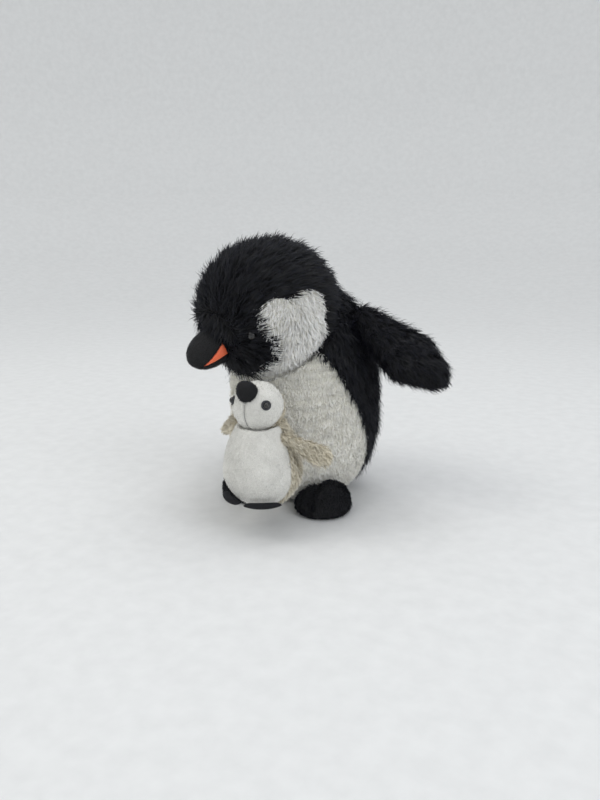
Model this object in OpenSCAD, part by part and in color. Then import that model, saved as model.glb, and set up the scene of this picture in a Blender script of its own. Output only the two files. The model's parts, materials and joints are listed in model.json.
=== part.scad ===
// Plush mother penguin bowing over a small chick that is sewn to her belly.
// The origin is on the floor under the mother's body. She faces -Y, her left side is +X, +Z is up.

/* [Mother's body] */
// Largest radius of the stuffed body
body_r = 75; // [74:0.5:76]
// Height at which the body is widest
body_mid_z = 96; // [94:1:98]
// Height of the body's top before the neck seat is cut
body_top_z = 222; // [219:1:224]
// How far the body's middle lies in front of the origin
body_forward = 5; // [3:1:7]
// Thickness of the mother's fur fabric
skin = 3; // [2:0.5:4]
// How far back the belly panel's seam lies at a height of 50 mm
seam_y = 4; // [0:1:8]
// Lean of the seam: it runs forward as it rises
seam_lean = 27; // [24:1:29]
// Radius of the bag of pellets in the base
pellet_r = 23; // [20:1:24]

/* [Mother's head] */
// Radius of the round head
head_r = 64; // [63:0.5:65]
// Head centre to the side, along X
head_x = -15; // [-17:1:-13]
// Head centre to the front, along Y
head_y = -52; // [-54:1:-50]
// Height of the head's centre
head_z = 199; // [198:1:201]
// How far the head is turned to the mother's right
head_turn = 26; // [24:1:28]
// How far the beak points below the horizontal
head_bow = 27; // [25:1:29]
// Tilt of the neck's own axis from the vertical
neck_tilt = 36; // [34:1:38]
// Thickness of the strip of neck skin between the head and the body
neck_skin_t = 5; // [4:0.5:6]
// Length of the beak in front of the head
beak_l = 31; // [28:1:33]
// Radius of the beak at its root
beak_r = 18; // [17:0.5:19]
// Radius of a glossy eye
eye_r = 4.5; // [4:0.5:5]

/* [Wings and feet] */
// Length of a wing from its shoulder to its tip
wing_l = 102; // [96:1:104]
// Width of a wing
wing_w = 52; // [44:1:54]
// Thickness of a wing
wing_t = 26; // [24:1:28]
// Droop of the left wing below the horizontal
left_wing_droop = 34; // [31:1:36]
// Droop of the right wing below the horizontal
right_wing_droop = 54; // [52:1:55]
// How far back the right wing is swept
right_wing_sweep = 40; // [36:1:44]
// Radius of a foot's round sole
foot_r = 28; // [25:0.5:29]
// Height of a foot
foot_h = 38; // [32:1:40]

/* [Chick] */
// Largest radius of the chick's body
chick_r = 36; // [35:0.5:37]
// Height of the underside of the chick above the floor
chick_z = 30; // [28:1:32]
// Height of the chick's body before the neck seat is cut
chick_body_h = 92; // [90:1:94]
// Chick's middle to the side, along X
chick_x = 22; // [20:1:24]
// Chick's middle to the front, along Y
chick_y = -119; // [-122:1:-118]
// Radius of the chick's head
chick_head_r = 23; // [22:0.5:24]
// How far the chick looks up
chick_look_up = 44; // [41:1:46]
// Thickness of the chick's fabric
chick_skin = 1.6; // [1.2:0.1:2]
// Length of a chick's flipper
flipper_l = 46; // [40:1:48]
// Width of a chick's flipper
flipper_w = 19; // [16:1:20]

/* [Hidden] */
$fn = 64;
// Running gap between two pieces that move against each other
gap = 0.4;
// Room between a cover and the filling inside it
fill_gap = 0.2;
// Number of steps in a curved profile, and in each half of a body's profile
steps = 14;
body_steps = 8;
// How square a body's profile is: 2 is an ellipse
full = 2.6;
chick_full = 1.75;
head_centre = [head_x, head_y, head_z];
seat_r = head_r + gap + neck_skin_t + gap;
shoulder_r = 12;
cup_r = shoulder_r + 5;
left_shoulder = [66, 0, 190];
right_shoulder = [-70, 24, 168];
left_wing_twist = 45;
right_wing_twist = 0;
// Height of the mouth line below the beak's middle
mouth_z = -8;
// Turn and rise of an eye from the beak's line
eye_turn = 46;
eye_rise = 6;
// White lobes on one side of the head, each with its turn, its drop and its radius
patch_lobes = [[72, -10, 19], [98, -2, 21], [84, 18, 29], [62, 52, 32]];
// Where the tail leaves the back, its tilt and its length
tail_at = [0, 48, 32];
tail_tilt = -68;
tail_l = 48;
left_foot_at = [50, -50, 0];
right_foot_at = [-38, -52, 0];
foot_lift = 8;
// Rise of a foot's front edge when its toes lift
foot_rise = 8;
chick_at = [chick_x, chick_y, chick_z];
chick_head_at = [chick_x - 1, chick_y - 3, chick_z + 92];
chick_neck_t = 2;
chick_seat_r = chick_head_r + gap + chick_neck_t + gap;
chick_shoulder_r = 6;
chick_shoulder_x = 26;
chick_eye_turn = 51;
chick_eye_drop = 13;
chick_beak_r = 9.5;
chick_beak_l = 17;
chick_shoulder_h = 64;

// ---- Shared shapes ----

// Radius of a full, rounded profile at the relative height t, which runs from -1 to 1.
function full_r(r, t, f) = r * pow(1 - pow(min(1, abs(t)), f), 1 / f);

// Half outline of a body: widest at mid, closed at the top, cut flat at the height bottom.
function body_outline(r, low, mid, top, f, bottom = 0) = [
    [0, bottom],
    for (i = [0 : body_steps]) let (z = bottom + (mid - bottom) * i / body_steps)
        [full_r(r, (z - mid) / (mid - low), f), z],
    for (i = [1 : body_steps - 1]) let (a = 90 * i / body_steps, z = mid + (top - mid) * sin(a))
        [full_r(r, (z - mid) / (top - mid), f), z],
    [0, top]
];

// The mother's stuffed body, smaller all round by inset, above the height bottom.
module body_solid(inset = 0, bottom = 0) {
    translate([0, -body_forward, 0])
        rotate_extrude()
            polygon(body_outline(body_r - inset, -4, body_mid_z, body_top_z - inset, full, bottom));
}

// The cup in the body's top and front that the head sits in.
module neck_seat() {
    translate(head_centre) rotate([30, -90, 0]) sphere(r = seat_r);
}

// A wedge that opens to the front, to part a front panel from a back cover.
module front_wedge(half_angle, reach, height) {
    linear_extrude(height)
        polygon([
            [0, 0],
            for (i = [-4 : 4]) let (a = half_angle * i / 4) [reach * sin(a), -reach * cos(a)]
        ]);
}

// Puts a child that points along -Y onto the mother's bowed and turned head.
module on_head() {
    translate(head_centre) rotate([0, 0, -head_turn]) rotate([head_bow, 0, 0]) children();
}

// ---- Mother's body ----

// The belly panel's share of the body: all that lies in front of a slanting cut.
module belly_zone() {
    translate([0, seam_y, 50])
        rotate([seam_lean, 0, 0])
            translate([-150, -300, -300]) cube([300, 300, 600]);
}

module body_skin() {
    difference() {
        body_solid(0, skin);
        body_solid(skin, skin);
        neck_seat();
        shoulder_cups();
    }
}

// Cups at both shoulders, where the wings turn.
module shoulder_cups() {
    translate(left_shoulder) sphere(r = cup_r);
    translate(right_shoulder) rotate([0, 0, 180]) sphere(r = cup_r);
}

module back_cover() {
    color("#12151c")
        difference() {
            body_skin();
            belly_zone();
        }
}

module belly_panel() {
    color("#e9e7df")
        intersection() {
            body_skin();
            belly_zone();
        }
}

module base_panel() {
    color("#15161a")
        translate([0, -body_forward, 0])
            cylinder(h = skin, r1 = base_r(0), r2 = base_r(skin));
}

// Radius of the body near the floor, at the height z.
function base_r(z) = full_r(body_r, (z - body_mid_z) / (body_mid_z + 4), full);

// The bag's shape, larger all round by extra.
module pellet_shape(extra = 0) {
    translate([0, -body_forward, skin])
        rotate_extrude()
            polygon([
                [0, 0],
                for (i = [0 : steps])
                    let (a = 90 * i / steps, r = pellet_r + extra) [r * cos(a), r * 0.8 * sin(a)]
            ]);
}

module pellet_bag() {
    color("#b9b3a4") pellet_shape();
}

module body_stuffing() {
    color("#f4f2ec")
        difference() {
            body_solid(skin, skin);
            neck_seat();
            shoulder_cups();
            pellet_shape(fill_gap);
        }
}

module tail() {
    color("#12151c")
        difference() {
            translate(tail_at) rotate([tail_tilt, 0, 0]) cylinder(h = tail_l, r1 = 22, r2 = 8);
            body_solid(0, skin);
        }
}

// ---- Neck ----

// A strip of skin shaped like part of a ball, so that the head can nod inside it and it can turn.
module neck_skin() {
    color("#12151c")
        intersection() {
            difference() {
                translate(head_centre) sphere(r = seat_r - gap);
                translate(head_centre) sphere(r = head_r + gap);
            }
            translate(head_centre)
                rotate([180 + neck_tilt, 0, 0]) cylinder(h = 100, r1 = 0, r2 = 160);
        }
}

// ---- Mother's head ----

module head_skin() {
    difference() {
        sphere(r = head_r);
        sphere(r = head_r - skin);
        for (side = [-1, 1]) eye_bore(side);
        rotate([90, 0, 0]) cylinder(h = 100, r = beak_r);
    }
}

// The white patch's share of one side of the head.
module patch_zone(side) {
    for (lobe = patch_lobes)
        rotate([0, 0, side * lobe[0]])
            rotate([lobe[1], 0, 0])
                rotate([90, 0, 0]) cylinder(h = 100, r = lobe[2]);
}

module eye_place(side) {
    rotate([0, 0, side * eye_turn]) rotate([-eye_rise, 0, 0]) rotate([90, 0, 0]) children();
}

module eye_bore(side) {
    eye_place(side) cylinder(h = 100, r = 1.6);
}

module hood() {
    color("#12151c")
        on_head()
            difference() {
                head_skin();
                patch_zone(1);
                patch_zone(-1);
            }
}

module throat_patch(side) {
    color("#efede6")
        on_head()
            intersection() {
                head_skin();
                patch_zone(side);
            }
}

module head_stuffing() {
    color("#f4f2ec")
        on_head()
            difference() {
                sphere(r = head_r - skin - fill_gap);
                for (side = [-1, 1]) {
                    eye_bore(side);
                    eye_washer_shape(side);
                }
            }
}

module eye_washer_shape(side) {
    eye_place(side) translate([0, 0, head_r - skin - 5]) cylinder(h = 1.5, r = 6);
}

module eye(side) {
    color("#050506")
        on_head()
            eye_place(side) {
                translate([0, 0, head_r + 0.6])
                    rotate_extrude()
                        intersection() {
                            circle(r = eye_r);
                            translate([0, -0.6]) square([eye_r, 2 * eye_r]);
                        }
                translate([0, 0, head_r - 9]) cylinder(h = 9.2, r = 1.5);
            }
}

module eye_washer(side) {
    color("#d8d8d4")
        on_head()
            difference() {
                eye_washer_shape(side);
                eye_place(side) cylinder(h = 100, r = 1.5);
            }
}

// The whole beak: a round cone with a ball for its blunt tip, in line with -Y.
module beak_solid() {
    rotate([90, 0, 0])
        rotate_extrude()
            polygon([
                [0, head_r - skin],
                [beak_r, head_r - skin],
                [beak_r, head_r + 4],
                for (i = [0 : steps])
                    let (a = 90 * i / steps)
                        [beak_r * cos(a), head_r + 4 + (beak_l - 4) * sin(a)]
            ]);
}

// The side wedge of the mouth: tall at the root, a point near the tip.
module gape_zone(side) {
    translate([side > 0 ? 7 : -47, 0, 0])
        rotate([90, 0, 90])
            linear_extrude(40)
                polygon([
                    [-head_r + skin - 1, mouth_z],
                    [-head_r + skin - 1, mouth_z + 13],
                    [-head_r - beak_l * 0.8, mouth_z]
                ]);
}

module upper_beak() {
    color("#0e0f12")
        on_head()
            difference() {
                beak_solid();
                translate([-50, -150, mouth_z - 60]) cube([100, 150, 60]);
                gape_zone(1);
                gape_zone(-1);
            }
}

module lower_beak() {
    color("#0e0f12")
        on_head()
            intersection() {
                beak_solid();
                translate([-50, -150, mouth_z - 60]) cube([100, 150, 60]);
            }
}

module gape(side) {
    color("#ff6a45")
        on_head()
            intersection() {
                beak_solid();
                gape_zone(side);
            }
}

// ---- Wings ----

// A flat leaf along +X with a round root at the origin, open at the root for its filling.
module wing_leaf(inset = 0) {
    hull() {
        sphere(r = shoulder_r - inset, $fn = 24);
        for (side = [-1, 1])
            translate([wing_l * 0.6, side * (wing_w / 2 - wing_t / 2), 0])
                sphere(r = wing_t / 2 - inset, $fn = 24);
        translate([wing_l - 14, 4, 0]) sphere(r = 14 - inset, $fn = 24);
    }
}

module at_left_wing() {
    translate(left_shoulder) rotate([0, left_wing_droop, 0]) rotate([left_wing_twist, 0, 0]) children();
}

module at_right_wing() {
    translate(right_shoulder)
        mirror([1, 0, 0])
            rotate([0, 0, right_wing_sweep])
                rotate([0, right_wing_droop, 0])
                    rotate([right_wing_twist, 0, 0]) children();
}

module wing_cover() {
    color("#12151c")
        difference() {
            wing_leaf();
            wing_leaf(skin);
            rotate([0, -90, 0]) cylinder(h = 20, r = 5, $fn = 12);
        }
}

module wing_stuffing() {
    color("#f4f2ec") wing_leaf(skin);
}

// ---- Feet ----

module foot_bun(inset = 0) {
    translate([0, 0, inset])
        rotate_extrude()
            polygon([
                [0, 0],
                [foot_r - 6 - inset, 0],
                for (i = [0 : steps])
                    let (a = 90 * i / steps)
                        [(foot_r - inset) * cos(a), 5 + (foot_h - 5 - 2 * inset) * sin(a)]
            ]);
}

// The body's lower part with the room that a foot needs while its toes lift.
module foot_room(inset) {
    translate([0, -body_forward, 0])
        rotate_extrude()
            polygon([
                [0, 0],
                for (z = [0 : 6 : 54]) [base_r(z + foot_rise) + 1 + inset + z * tan(foot_lift), z],
                [0, 54]
            ]);
}

module foot_solid(at, inset = 0) {
    difference() {
        translate(at) foot_bun(inset);
        foot_room(inset);
    }
}

module foot_cover(at) {
    color("#14161c")
        difference() {
            foot_solid(at);
            foot_solid(at, 2);
        }
}

module foot_stuffing(at) {
    color("#f4f2ec") foot_solid(at, 2);
}

// ---- Chick's body ----

module chick_solid(inset = 0) {
    translate(chick_at)
        translate([0, 0, inset])
            rotate_extrude()
                polygon(body_outline(chick_r - inset, -5, 30 - inset, chick_body_h - 2 * inset, chick_full));
}

module chick_neck_seat() {
    translate(chick_head_at) sphere(r = chick_seat_r);
}

module chick_shoulder_cups() {
    for (side = [-1, 1])
        chick_shoulder(side) sphere(r = chick_shoulder_r + gap);
}

function chick_shoulder_at(side) = [chick_x + side * chick_shoulder_x, chick_y, chick_z + chick_shoulder_h];

module chick_shoulder(side) {
    translate(chick_shoulder_at(side)) children();
}

module chick_body_skin() {
    difference() {
        chick_solid();
        chick_solid(chick_skin);
        chick_neck_seat();
        chick_shoulder_cups();
        translate([chick_x - 50, chick_y - 50, chick_z - 1]) cube([100, 100, 1 + chick_skin]);
    }
}

module chick_front_zone() {
    translate([chick_x, chick_y + 4, chick_z]) front_wedge(76, 80, 120);
}

module chick_front_panel() {
    color("#f0efe9")
        intersection() {
            chick_body_skin();
            chick_front_zone();
        }
}

module chick_back_cover() {
    color("#c9c0a9")
        difference() {
            chick_body_skin();
            chick_front_zone();
        }
}

module chick_base() {
    color("#efeee8")
        intersection() {
            chick_solid();
            translate([chick_x - 50, chick_y - 50, chick_z - 1]) cube([100, 100, 1 + chick_skin]);
        }
}

module chick_stuffing() {
    color("#f4f2ec")
        difference() {
            chick_solid(chick_skin + fill_gap);
            chick_neck_seat();
            chick_shoulder_cups();
        }
}

// A felt foot: a flat crescent that hugs the front of the chick's underside.
module chick_foot(side) {
    color("#1b1e2b")
        difference() {
            translate(chick_at)
                rotate([0, 0, side * 34 - 90])
                    rotate([0, 0, -29])
                        rotate_extrude(angle = 58)
                            translate([chick_r - 2.5, 7]) circle(r = 3.6, $fn = 24);
            chick_solid();
        }
}

// ---- Chick's head ----

module chick_neck_skin() {
    color("#efeee8")
        intersection() {
            difference() {
                translate(chick_head_at) sphere(r = chick_seat_r - gap);
                translate(chick_head_at) sphere(r = chick_head_r + gap);
            }
            translate(chick_head_at) rotate([180, 0, 0]) cylinder(h = 60, r1 = 0, r2 = 45);
        }
}

module on_chick_head() {
    translate(chick_head_at) rotate([-chick_look_up, 0, 0]) children();
}

module chick_head_skin() {
    difference() {
        rotate([0, 90, 0]) sphere(r = chick_head_r);
        rotate([0, 90, 0]) sphere(r = chick_head_r - chick_skin);
        for (side = [-1, 1]) chick_eye_place(side) cylinder(h = 60, r = 1);
    }
}

module chick_eye_place(side) {
    rotate([0, 0, side * chick_eye_turn]) rotate([chick_eye_drop, 0, 0]) rotate([90, 0, 0]) children();
}

// The face's share of the head: all but the crown and the back.
module chick_face_zone(side) {
    translate([side > 0 ? 0 : -60, -60, -60]) cube([60, 68, 120]);
}

module chick_face(side) {
    color("#f0efe9")
        on_chick_head()
            intersection() {
                chick_head_skin();
                chick_face_zone(side);
            }
}

module chick_head_back() {
    color("#c9c0a9")
        on_chick_head()
            difference() {
                chick_head_skin();
                chick_face_zone(1);
                chick_face_zone(-1);
            }
}

module chick_head_stuffing() {
    color("#f4f2ec")
        on_chick_head()
            difference() {
                rotate([0, 90, 0]) sphere(r = chick_head_r - chick_skin - fill_gap);
                for (side = [-1, 1]) chick_eye_place(side) cylinder(h = 60, r = 1);
            }
}

module chick_beak() {
    color("#0e0f12")
        on_chick_head()
            difference() {
                rotate([90, 0, 0])
                    rotate_extrude()
                        polygon([
                            [0, chick_head_r - 4],
                            for (i = [0 : steps])
                                let (a = 90 * i / steps)
                                    [chick_beak_r * cos(a), chick_head_r - 3 + chick_beak_l * sin(a)]
                        ]);
                rotate([0, 90, 0]) sphere(r = chick_head_r);
            }
}

module chick_eye_felt(side) {
    color("#3a3b40")
        on_chick_head()
            chick_eye_place(side)
                translate([0, 0, chick_head_r])
                    difference() {
                        cylinder(h = 1.2, r = 4.5);
                        translate([0, 0, -1]) cylinder(h = 4, r = 1);
                    }
}

module chick_eye(side) {
    color("#050506")
        on_chick_head()
            chick_eye_place(side) {
                translate([0, 0, chick_head_r + 1.2])
                    rotate_extrude()
                        intersection() {
                            circle(r = 2.8);
                            square([2.8, 2.8]);
                        }
                translate([0, 0, chick_head_r - 8]) cylinder(h = 9.2, r = 0.9);
            }
}

// ---- Chick's flippers ----

// A flat paddle along +X, split into a plush top and a satin lining.
module paddle(low, high) {
    translate([0, 0, low])
        linear_extrude(high - low)
            hull() {
                translate([3, 0]) circle(r = 4, $fn = 32);
                translate([flipper_l - flipper_w / 2, 0]) circle(r = flipper_w / 2, $fn = 32);
            }
}

function flipper_sweep(side) = side > 0 ? 12 : 45;

module at_flipper(side) {
    chick_shoulder(side)
        mirror([side < 0 ? 1 : 0, 0, 0])
            rotate([0, 0, flipper_sweep(side)])
                rotate([0, side > 0 ? 22 : 8, 0])
                    rotate([52, 0, 0]) children();
}

module flipper(side) {
    color("#c9c0a9")
        union() {
            at_flipper(side) sphere(r = chick_shoulder_r);
            difference() {
                at_flipper(side) paddle(0, 4);
                chick_solid(-3 * gap);
            }
        }
}

module flipper_lining(side) {
    color("#e6e2ee")
        difference() {
            at_flipper(side) paddle(-1.2, 0);
            at_flipper(side) sphere(r = chick_shoulder_r);
            chick_solid(-3 * gap);
        }
}

back_cover();
belly_panel();
base_panel();
body_stuffing();
pellet_bag();
tail();
neck_skin();
hood();
throat_patch(1);  // left_throat_patch
throat_patch(-1);  // right_throat_patch
head_stuffing();
upper_beak();
lower_beak();
gape(1);  // left_gape
gape(-1);  // right_gape
eye(1);  // left_eye
eye(-1);  // right_eye
eye_washer(1);  // left_eye_washer
eye_washer(-1);  // right_eye_washer
at_left_wing() wing_cover();  // left_wing_cover
at_left_wing() wing_stuffing();  // left_wing_stuffing
at_right_wing() wing_cover();  // right_wing_cover
at_right_wing() wing_stuffing();  // right_wing_stuffing
foot_cover(left_foot_at);  // left_foot_cover
foot_stuffing(left_foot_at);  // left_foot_stuffing
foot_cover(right_foot_at);  // right_foot_cover
foot_stuffing(right_foot_at);  // right_foot_stuffing
chick_front_panel();
chick_back_cover();
chick_base();
chick_stuffing();
chick_foot(1);  // chick_left_foot
chick_foot(-1);  // chick_right_foot
chick_neck_skin();
chick_face(1);  // chick_face_left
chick_face(-1);  // chick_face_right
chick_head_back();
chick_head_stuffing();
chick_beak();
chick_eye_felt(1);  // chick_left_eye_felt
chick_eye_felt(-1);  // chick_right_eye_felt
chick_eye(1);  // chick_left_eye
chick_eye(-1);  // chick_right_eye
flipper(1);  // chick_left_flipper
flipper_lining(1);  // chick_left_flipper_lining
flipper(-1);  // chick_right_flipper
flipper_lining(-1);  // chick_right_flipper_lining
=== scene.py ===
# %% [markdown]
# # A plush mother penguin with her chick
#
# The toy is a stuffed mother in long blue-black fur with a white plush belly. She bows over a
# small chick of short velboa that is sewn to her belly. The imported model gives every piece's
# place, so the first step loads it and keeps its box.

# %% Load the frame
import json
import math
import bpy
import bmesh
import numpy as np
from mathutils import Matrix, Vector
from mathutils.bvhtree import BVHTree


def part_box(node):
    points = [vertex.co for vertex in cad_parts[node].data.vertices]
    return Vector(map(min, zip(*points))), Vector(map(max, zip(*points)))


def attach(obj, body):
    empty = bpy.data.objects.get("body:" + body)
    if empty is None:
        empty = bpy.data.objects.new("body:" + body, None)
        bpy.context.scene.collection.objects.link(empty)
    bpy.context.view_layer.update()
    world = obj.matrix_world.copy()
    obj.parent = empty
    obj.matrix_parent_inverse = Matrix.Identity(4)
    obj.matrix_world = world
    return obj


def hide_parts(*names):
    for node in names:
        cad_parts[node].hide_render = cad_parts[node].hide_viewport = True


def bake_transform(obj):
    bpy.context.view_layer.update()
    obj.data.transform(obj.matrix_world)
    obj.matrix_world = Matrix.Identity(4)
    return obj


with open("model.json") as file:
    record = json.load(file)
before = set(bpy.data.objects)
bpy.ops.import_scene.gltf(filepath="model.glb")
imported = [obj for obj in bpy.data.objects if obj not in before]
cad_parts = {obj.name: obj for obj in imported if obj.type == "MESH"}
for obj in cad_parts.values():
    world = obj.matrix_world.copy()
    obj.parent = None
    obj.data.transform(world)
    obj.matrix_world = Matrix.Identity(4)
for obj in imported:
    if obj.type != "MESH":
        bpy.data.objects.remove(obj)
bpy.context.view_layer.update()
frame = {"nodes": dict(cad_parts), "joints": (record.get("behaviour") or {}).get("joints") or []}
joints = {joint["name"]: joint for joint in frame["joints"]}

# %% [markdown]
# ## Landmarks
#
# Fur is combed away from the beak on the head, down the back, and out along each wing. Those
# directions need the places where the parts turn, and the joints already state them.

# %% Places on the two birds
MM = 0.001
HEAD_R = 0.064
head_centre = Vector(joints["head_nod"]["pos_m"])
left_shoulder = Vector(joints["left_wing_lift"]["pos_m"])
right_shoulder = Vector(joints["right_wing_lift"]["pos_m"])
chick_head_centre = Vector(joints["chick_head_nod"]["pos_m"])


def middle(*nodes):
    corners = [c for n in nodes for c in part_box(n)]
    low = Vector([min(c[i] for c in corners) for i in range(3)])
    high = Vector([max(c[i] for c in corners) for i in range(3)])
    return (low + high) / 2


beak_axis = (middle("upper_beak", "lower_beak") - head_centre).normalized()
beak_root = head_centre.lerp(middle("upper_beak", "lower_beak"), 0.75)
left_low, left_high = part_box("left_wing_cover")
left_tip = Vector((left_high.x, left_shoulder.y, left_low.z))
right_low, right_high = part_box("right_wing_cover")
right_tip = Vector((right_low.x, right_high.y, right_low.z))
chick_middle = middle("chick_stuffing")
torso_middle = middle("body_stuffing")
print("head centre", tuple(round(c, 3) for c in head_centre))

# %% [markdown]
# ## Node helper and colours
#
# Every material and every Geometry Nodes tree below is built from one small function. It adds a
# node, sets its properties, and either links or sets its inputs. Colours are written as sRGB hex
# values, the way a fabric card gives them, and turned to linear light once.


# %% One function for nodes, one for colours
def add(tree, kind, inputs=None, **settings):
    node = tree.nodes.new(kind)
    for key, value in settings.items():
        setattr(node, key, value)
    for key, value in (inputs or {}).items():
        if isinstance(value, bpy.types.NodeSocket):
            tree.links.new(value, node.inputs[key])
        else:
            node.inputs[key].default_value = value
    return node


def linear(hex_colour):
    parts = [int(hex_colour[i:i + 2], 16) / 255 for i in (1, 3, 5)]
    return [p / 12.92 if p <= 0.04045 else ((p + 0.055) / 1.055) ** 2.4 for p in parts] + [1.0]


def blank_material(name):
    material = bpy.data.materials.new(name)
    material.use_nodes = True
    material.node_tree.nodes.clear()
    return material, material.node_tree


def ramp(tree, factor, stops):
    node = add(tree, "ShaderNodeValToRGB", {"Fac": factor})
    elements = node.color_ramp.elements
    while len(elements) < len(stops):
        elements.new(0.5)
    for element, (place, colour) in zip(elements, stops):
        element.position = place
        element.color = linear(colour)
    return node.outputs["Color"]


# %% [markdown]
# ## Pile fabrics
#
# Faux fur and plush are knitted backings with tufts of fibre. Each tuft is painted dark at its
# root, where light can't reach, and lighter at its tip, where light catches it: painted shade and a
# painted highlight. Every tuft carries two numbers from the node tree that plants it: `along`, from
# root to tip, and `tone`, a random shade. The material mixes both, so its lightest colour is partly
# random tone and partly a painted highlight, and a broad noise adds the patches that handling
# leaves. Sheen gives the soft bright rim that fibre ends make at a glancing angle.


# %% A material for tufts
def tuft_material(name, root, tip, fleck_and_highlight, roughness, sheen, tint, patch_mm=18, subsurface=0.0):
    material, tree = blank_material(name)
    along = add(tree, "ShaderNodeAttribute", attribute_name="along").outputs["Fac"]
    tone = add(tree, "ShaderNodeAttribute", attribute_name="tone").outputs["Fac"]
    place = add(tree, "ShaderNodeTexCoord").outputs["Object"]
    patch = add(tree, "ShaderNodeTexNoise", {"Vector": place, "Scale": 1000 / patch_mm, "Detail": 3.0})
    lift = add(tree, "ShaderNodeMath", {0: tone, 1: 0.45}, operation="MULTIPLY")
    shade = add(tree, "ShaderNodeMath", {0: along, 1: 0.75, 2: lift.outputs[0]}, operation="MULTIPLY_ADD")
    # The ramp runs from painted shade at the root to a painted highlight at the tip; its last stop also takes
    # random tone.
    colour = ramp(tree, shade.outputs[0], [(0.0, root), (0.62, tip), (1.0, fleck_and_highlight)])
    worn = add(tree, "ShaderNodeMapRange", {"Value": patch.outputs["Fac"], "From Min": 0.3, "From Max": 0.7,
                                           "To Min": 0.82, "To Max": 1.08})
    mixed = add(tree, "ShaderNodeVectorMath", {0: colour, "Scale": worn.outputs[0]}, operation="SCALE")
    rough = add(tree, "ShaderNodeMapRange", {"Value": tone, "To Min": roughness - 0.08,
                                            "To Max": roughness + 0.12})
    shader = add(tree, "ShaderNodeBsdfPrincipled", {
        "Base Color": mixed.outputs[0], "Roughness": rough.outputs[0], "IOR": 1.53,
        "Sheen Weight": sheen, "Sheen Roughness": 0.45, "Sheen Tint": linear(tint),
        "Subsurface Weight": subsurface, "Subsurface Scale": 0.003, "Subsurface Radius": (1.0, 0.95, 0.85)})
    add(tree, "ShaderNodeOutputMaterial", {"Surface": shader.outputs[0]})
    return material


# %% [markdown]
# Backings, velour, velboa and felt have fibre ends too fine to plant one by one, so fine noise
# gives them their grain and bump, and a broad noise their wear. Very fine grain is drawn a
# little coarser than life, so that it shows.

# %% A material for knitted backings, velour, velboa and felt
def cloth_material(name, dark, light, grain_mm, bump_mm, roughness, sheen, tint, patch_mm=14):
    """grain_mm is the spacing of the fibre ends that show, bump_mm their height."""
    material, tree = blank_material(name)
    place = add(tree, "ShaderNodeTexCoord").outputs["Object"]
    grain = add(tree, "ShaderNodeTexNoise", {"Vector": place, "Scale": 1000 / grain_mm, "Detail": 5.0,
                                            "Roughness": 0.65})
    patch = add(tree, "ShaderNodeTexNoise", {"Vector": place, "Scale": 1000 / patch_mm, "Detail": 2.0,
                                            "Distortion": 0.6})
    both = add(tree, "ShaderNodeMath", {0: grain.outputs["Fac"], 1: 0.6,
                                       2: add(tree, "ShaderNodeMath", {0: patch.outputs["Fac"], 1: 0.4},
                                              operation="MULTIPLY").outputs[0]}, operation="MULTIPLY_ADD")
    colour = ramp(tree, both.outputs[0], [(0.3, dark), (0.66, light)])
    rough = add(tree, "ShaderNodeMapRange", {"Value": grain.outputs["Fac"], "To Min": roughness - 0.1,
                                            "To Max": min(1.0, roughness + 0.1)})
    bump = add(tree, "ShaderNodeBump", {"Height": grain.outputs["Fac"], "Strength": 0.8,
                                       "Distance": bump_mm * MM})
    shader = add(tree, "ShaderNodeBsdfPrincipled", {
        "Base Color": colour, "Roughness": rough.outputs[0], "Normal": bump.outputs[0], "IOR": 1.5,
        "Sheen Weight": sheen, "Sheen Roughness": 0.4, "Sheen Tint": linear(tint)})
    add(tree, "ShaderNodeOutputMaterial", {"Surface": shader.outputs[0]})
    return material


# %% The fabrics of both birds
black_fur = tuft_material("long_pile_faux_fur_blue_black", "#010102", "#020409", "#070c1c", 0.8, 0.03,
                          "#3c5ad0")
white_fur = tuft_material("fluffy_plush_white", "#f6f5ef", "#fcfbf7", "#fffffd", 0.9, 0.4, "#ffffff",
                          subsurface=0.3)
belly_plush = tuft_material("sheared_nubby_plush_off_white", "#f5f3ea", "#fcfaf2", "#fffef8", 0.9, 0.4,
                            "#fffdf4", patch_mm=11, subsurface=0.3)
beige_fluff = tuft_material("fluffy_plush_beige", "#c3bba6", "#dcd5c2", "#ebe5d6", 0.88, 0.35, "#fff6e4",
                            subsurface=0.15)
black_plush = tuft_material("short_plush_black", "#010102", "#04050a", "#0d111b", 0.75, 0.06, "#5a70b8")
velour_nap = tuft_material("velour_nap_black", "#030304", "#08090b", "#121317", 0.7, 0.12, "#8088a8")
velboa_nap = tuft_material("velboa_nap_white", "#c4c3bd", "#e9e8e3", "#f8f7f3", 0.75, 0.4, "#ffffff")

fur_backing = cloth_material("knitted_fur_backing_black", "#030304", "#05060a", 1.2, 0.3, 0.9, 0.0,
                             "#8fa0c8")
white_backing = cloth_material("knitted_plush_backing_white", "#e8e6dc", "#f2f0e6", 1.4, 0.35, 0.85, 0.2,
                               "#ffffff")
beige_backing = cloth_material("knitted_plush_backing_beige", "#bdb5a1", "#d2cab6", 1.2, 0.3, 0.85, 0.2,
                               "#fff6e4")
white_velboa = cloth_material("short_pile_velboa_white", "#cfcec8", "#ebeae5", 0.9, 0.18, 0.75, 0.4,
                              "#ffffff")
black_velour = cloth_material("short_pile_velour_black", "#030304", "#0a0a0d", 0.7, 0.15, 0.75, 0.12,
                              "#8088a8")
navy_felt = cloth_material("pressed_felt_dark_navy", "#030408", "#0a0c14", 0.8, 0.2, 0.9, 0.03, "#7080b0")
grey_felt = cloth_material("pressed_felt_dark_grey", "#2a2b2f", "#4c4d52", 0.7, 0.18, 0.9, 0.2, "#a0a0a8")
black_cloth = cloth_material("plain_cotton_black", "#0a0a0c", "#1a1a1e", 0.8, 0.15, 0.85, 0.1, "#a0a0a8")
coral_satin = cloth_material("brushed_satin_coral_orange", "#ff5c34", "#ff8a60", 1.1, 0.12, 0.5, 0.3,
                             "#ffd0c0")
print(len(bpy.data.materials), "materials so far")


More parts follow.
